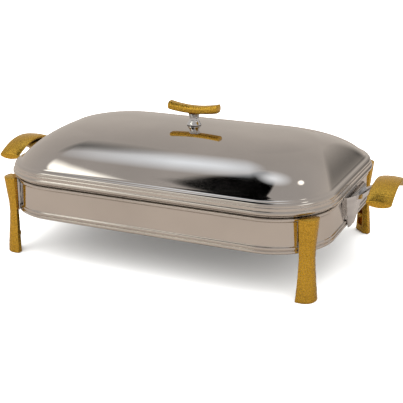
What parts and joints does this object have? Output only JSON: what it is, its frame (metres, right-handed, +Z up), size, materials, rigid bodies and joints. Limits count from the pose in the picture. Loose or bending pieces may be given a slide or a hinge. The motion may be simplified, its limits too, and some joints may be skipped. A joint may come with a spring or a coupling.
{
  "type": "electric buffet server",
  "caption": "Rectangular electric food warmer with rounded corners, domed lift-off lid, lift-out pan, cast legs and side grips, for keeping served food hot.",
  "frame": {"origin": "on the surface it stands on, under the middle of the body", "axes": "+X along the length towards the right grip, +Y towards the rear with the power inlet, +Z up"},
  "size_m": [0.5174, 0.2874, 0.1795],
  "materials": {
    "polished_steel": "mirror polish",
    "satin_steel": "satin",
    "base_steel": "satin, slightly dull",
    "chrome": "bright plating",
    "gold_casting": "gold plated, hammered, polished end faces",
    "zinc_fastener": "zinc plated",
    "element_sheath": "dull, heat tinted",
    "aluminium": "mill finish",
    "ceramic": "matt",
    "mineral_fibre": "fibrous, matt",
    "black_plastic": "fine texture",
    "brass_pin": "nickel free, plain",
    "amber_lens": "glossy, translucent",
    "live_sleeve": "smooth",
    "neutral_sleeve": "smooth",
    "earth_sleeve": "smooth"
  },
  "bodies": {
    "housing": {"base_plate": "base_steel", "base_screw_front_left": "zinc_fastener", "base_screw_front_right": "zinc_fastener", "base_screw_rear_left": "zinc_fastener", "base_screw_rear_right": "zinc_fastener", "body_shell": "polished_steel", "bracket_bolt_left": "zinc_fastener", "bracket_bolt_right": "zinc_fastener", "element_clip_1": "aluminium", "element_clip_2": "aluminium", "grip_left": "gold_casting", "grip_right": "gold_casting", "grip_screw_left": "zinc_fastener", "grip_screw_right": "zinc_fastener", "heating_element": "element_sheath", "heating_well": "satin_steel", "inlet_pin_earth": "brass_pin", "inlet_pin_live": "brass_pin", "inlet_pin_neutral": "brass_pin", "insulation_pad": "mineral_fibre", "lead_earth": "earth_sleeve", "lead_live": "live_sleeve", "lead_neutral": "neutral_sleeve", "lead_switched": "live_sleeve", "lead_thermostat": "live_sleeve", "leg_bolt_front_left_1": "zinc_fastener", "leg_bolt_front_left_2": "zinc_fastener", "leg_bolt_front_right_1": "zinc_fastener", "leg_bolt_front_right_2": "zinc_fastener", "leg_bolt_rear_left_1": "zinc_fastener", "leg_bolt_rear_left_2": "zinc_fastener", "leg_bolt_rear_right_1": "zinc_fastener", "leg_bolt_rear_right_2": "zinc_fastener", "leg_bracket_front_left": "chrome", "leg_bracket_front_right": "chrome", "leg_bracket_rear_left": "chrome", "leg_bracket_rear_right": "chrome", "leg_front_left": "gold_casting", "leg_front_right": "gold_casting", "leg_rear_left": "gold_casting", "leg_rear_right": "gold_casting", "pilot_lamp": "amber_lens", "plate_post_front_left": "zinc_fastener", "plate_post_front_right": "zinc_fastener", "plate_post_rear_left": "zinc_fastener", "plate_post_rear_right": "zinc_fastener", "power_inlet": "black_plastic", "side_bracket_left": "polished_steel", "side_bracket_right": "polished_steel", "switch_frame": "black_plastic", "terminal_block": "ceramic", "thermal_fuse": "ceramic", "thermostat": "ceramic"},
    "pan": {"food_pan": "polished_steel"},
    "lid": {"lid_shell": "polished_steel", "lid_stem": "chrome", "lid_bar": "gold_casting", "lid_washer": "zinc_fastener", "lid_nut": "zinc_fastener"},
    "switch_key": {"rocker": "black_plastic"}
  },
  "joints": [
    {"name": "pan_lift", "type": "slide", "parent": "housing", "child": "pan", "axis": [0, 0, 1], "range_m": [0, 0.12]},
    {"name": "lid_lift", "type": "slide", "parent": "pan", "child": "lid", "axis": [0, 0, 1], "range_m": [0, 0.18]},
    {"name": "switch_rock", "type": "hinge", "parent": "housing", "child": "switch_key", "pos_m": [0.056, 0.13475, 0.076], "axis": [1, 0, 0], "range_deg": [-12, 0]}
  ]
}
